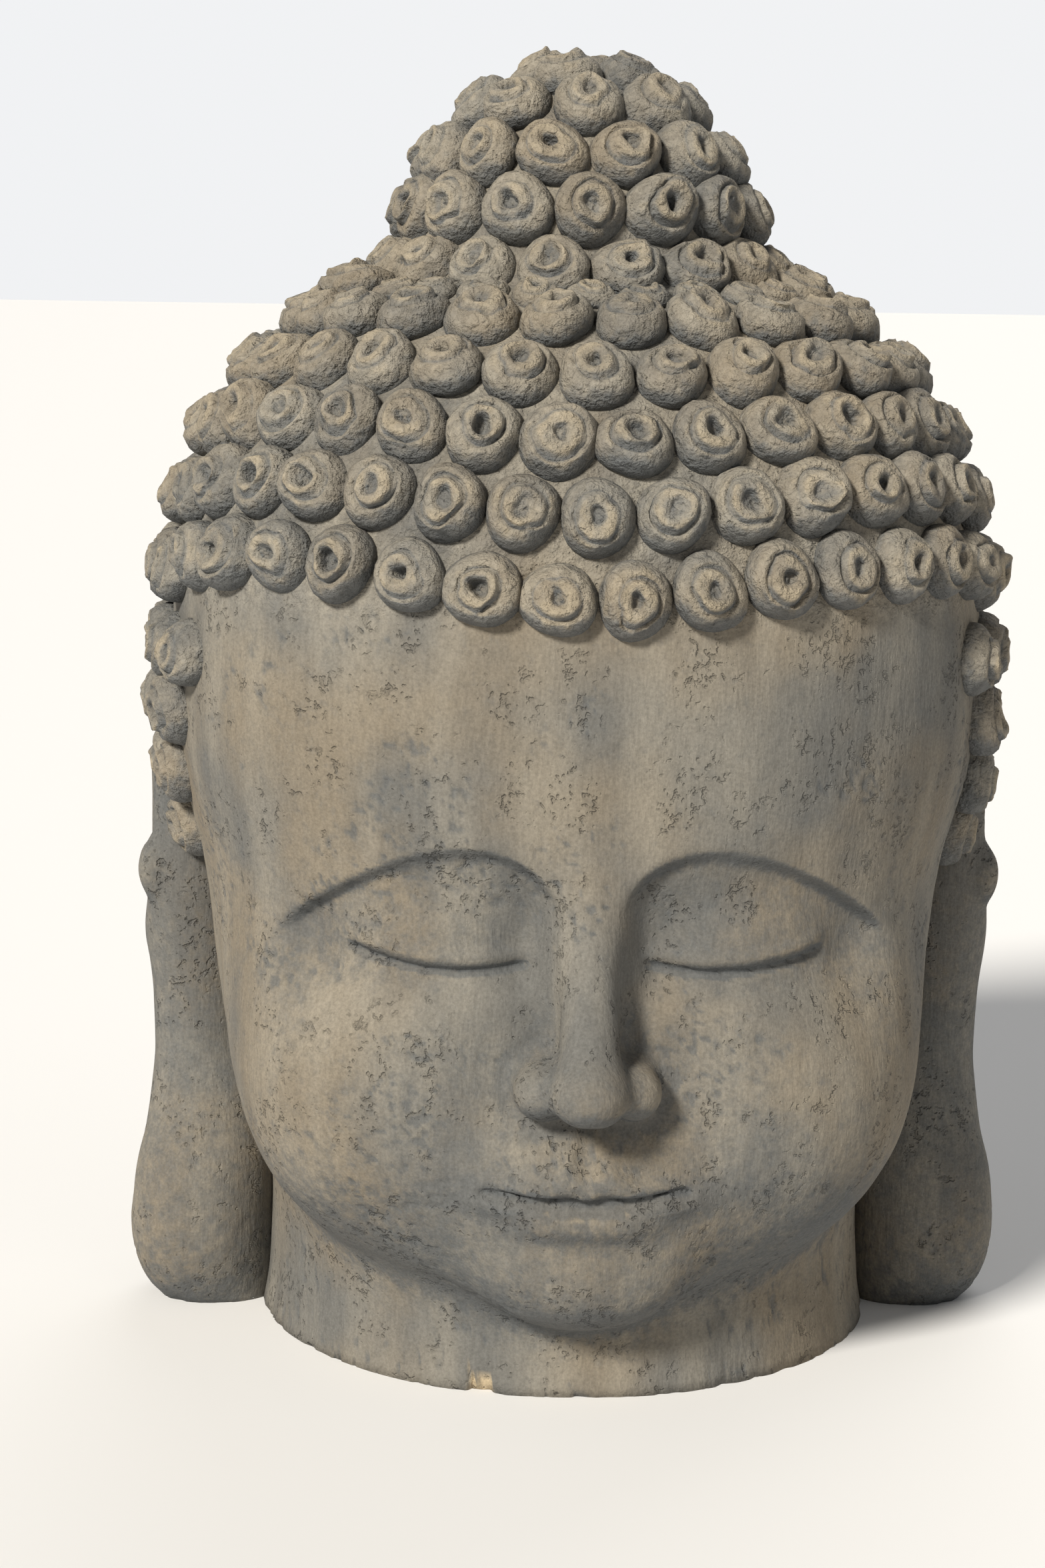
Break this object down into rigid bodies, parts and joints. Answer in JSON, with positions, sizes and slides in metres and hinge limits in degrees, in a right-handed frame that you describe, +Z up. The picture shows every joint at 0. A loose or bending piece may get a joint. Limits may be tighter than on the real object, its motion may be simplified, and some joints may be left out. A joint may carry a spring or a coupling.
{
  "type": "stone buddha head",
  "caption": "Cast stone garden head with snail-shell curls, a domed topknot and long ear lobes, standing on the flat cut of its neck.",
  "frame": {"origin": "middle of the flat underside of the neck, which is the underside of the whole head", "axes": "+Z up along the height, the face looks along -Y, +X is at the right of someone who looks at the face"},
  "size_m": [0.5044, 0.5131, 0.7202],
  "materials": {
    "cast_stone": "dark grey cast stone with warm tan dry-brushed high spots, finely pitted, nearly matt"
  },
  "bodies": {
    "root": {"buddha_head": "cast_stone"}
  },
  "joints": []
}
